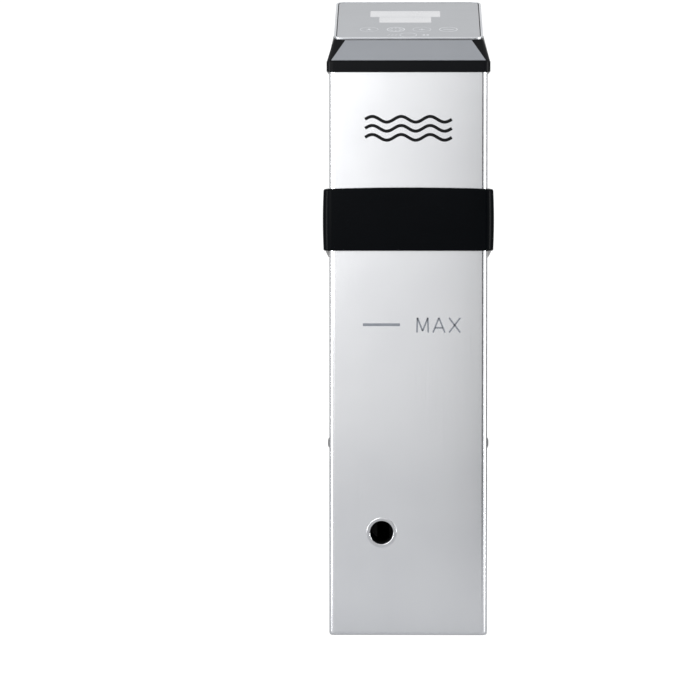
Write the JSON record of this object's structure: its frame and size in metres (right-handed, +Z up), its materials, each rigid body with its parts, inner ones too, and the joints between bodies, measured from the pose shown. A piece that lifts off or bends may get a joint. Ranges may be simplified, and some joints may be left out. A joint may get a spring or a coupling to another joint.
{
  "type": "sous vide circulator",
  "caption": "Rectangular steel column cooking circulator with a sloping touch panel head, a black collar with a screw clamp for a pot rim, and a slide-off sleeve over heater and pump",
  "frame": {"origin": "middle of the lower sleeve's flat base, directly under the middle of the lower column", "axes": "+X to the right seen from the front, -Y out of the front face, +Z up the column"},
  "size_m": [0.1028, 0.1548, 0.3847],
  "materials": {
    "steel_shell": "brushed stainless sheet, fine upright grain",
    "polished_trim": "polished stainless ring",
    "panel_rim": "satin anodised aluminium",
    "head_plastic": "black moulded plastic, fine texture",
    "facet_trim": "silver grey trim strip, satin",
    "panel_cover": "silver grey back-printed touch cover, satin gloss",
    "display": "pale lit display window",
    "light_box": "white moulded light box",
    "circuit_board": "green lacquered circuit board",
    "screw_steel": "plain stainless screws and pins",
    "cable_jacket": "grey flat cable jacket",
    "collar_plastic": "black glass-filled plastic, fine texture",
    "vent_plastic": "black moulded plastic",
    "rubber_parts": "black silicone rubber",
    "seal_silicone": "red silicone rubber",
    "brass_parts": "turned brass",
    "bulkhead_plastic": "dark heat-resisting plastic",
    "motor_steel": "zinc-plated drawn steel",
    "motor_bells": "die-cast aluminium",
    "motor_windings": "enamelled copper wire",
    "board_parts": "moulded component cases",
    "sink_aluminium": "extruded aluminium",
    "pump_plastic": "dark moulded pump plastic",
    "frame_steel": "bright stainless rod and plate",
    "heater_steel": "heat-tinted stainless tube",
    "knob_plastic": "black moulded knob"
  },
  "bodies": {
    "housing": {"head_housing": "head_plastic", "front_facet": "facet_trim", "panel_bezel": "panel_rim", "touch_panel": "panel_cover", "display_windows": "display", "led_module": "light_box", "control_board": "circuit_board", "board_screws": "screw_steel", "ribbon_cable": "cable_jacket", "upper_casing": "steel_shell", "vent_grille": "vent_plastic", "cable_gland": "vent_plastic", "gland_nut": "vent_plastic", "collar": "collar_plastic", "clamp_bracket": "collar_plastic", "fixed_jaw_pad": "rubber_parts", "thread_insert": "brass_parts", "bracket_screws": "screw_steel", "bulkhead": "bulkhead_plastic", "casing_gasket": "seal_silicone", "sleeve_seal": "seal_silicone", "shaft_seal": "rubber_parts", "motor_case": "motor_steel", "lower_end_bell": "motor_bells", "upper_end_bell": "motor_bells", "stator_core": "motor_steel", "stator_coils": "motor_windings", "motor_bearings": "screw_steel", "motor_screws": "screw_steel", "power_board": "circuit_board", "board_brackets": "bulkhead_plastic", "power_components": "board_parts", "heat_sink": "sink_aluminium", "support_rods": "frame_steel", "rod_screws": "screw_steel", "pump_plate": "frame_steel", "pump_housing": "pump_plastic", "pump_cover": "pump_plastic", "pump_screws": "screw_steel", "shaft_bush": "brass_parts", "heater_tube": "heater_steel", "heater_collars": "brass_parts", "temperature_probe": "frame_steel", "level_pins": "frame_steel"},
    "sleeve": {"lower_sleeve": "steel_shell", "base_cap": "steel_shell", "outlet_ring": "polished_trim", "side_bumpers": "rubber_parts"},
    "rotor": {"drive_shaft": "frame_steel", "rotor_core": "motor_steel", "impeller": "pump_plastic", "cooling_fan": "vent_plastic"},
    "clamp_pad": {"pressure_pad": "rubber_parts", "pad_holder": "knob_plastic"},
    "clamp_screw": {"clamp_spindle": "frame_steel", "clamp_knob": "knob_plastic", "knob_cap": "vent_plastic"}
  },
  "joints": [
    {"name": "sleeve_slide", "type": "slide", "parent": "housing", "child": "sleeve", "axis": [0, 0, -1], "range_m": [0, 0.245]},
    {"name": "pump_turn", "type": "hinge", "parent": "housing", "child": "rotor", "pos_m": [0.008, 0, 0.2], "axis": [0, 0, 1], "continuous": true},
    {"name": "pad_travel", "type": "slide", "parent": "housing", "child": "clamp_pad", "axis": [0, 1, 0], "range_m": [-0.0076, 0.012]},
    {"name": "knob_turn", "type": "hinge", "parent": "clamp_pad", "child": "clamp_screw", "pos_m": [0, 0.1, 0.212], "axis": [0, 1, 0], "range_deg": [-1368, 2160]}
  ],
  "couplings": [
    {"joint": "pad_travel", "follows": "knob_turn", "m_per_rad": 0.00031831}
  ]
}
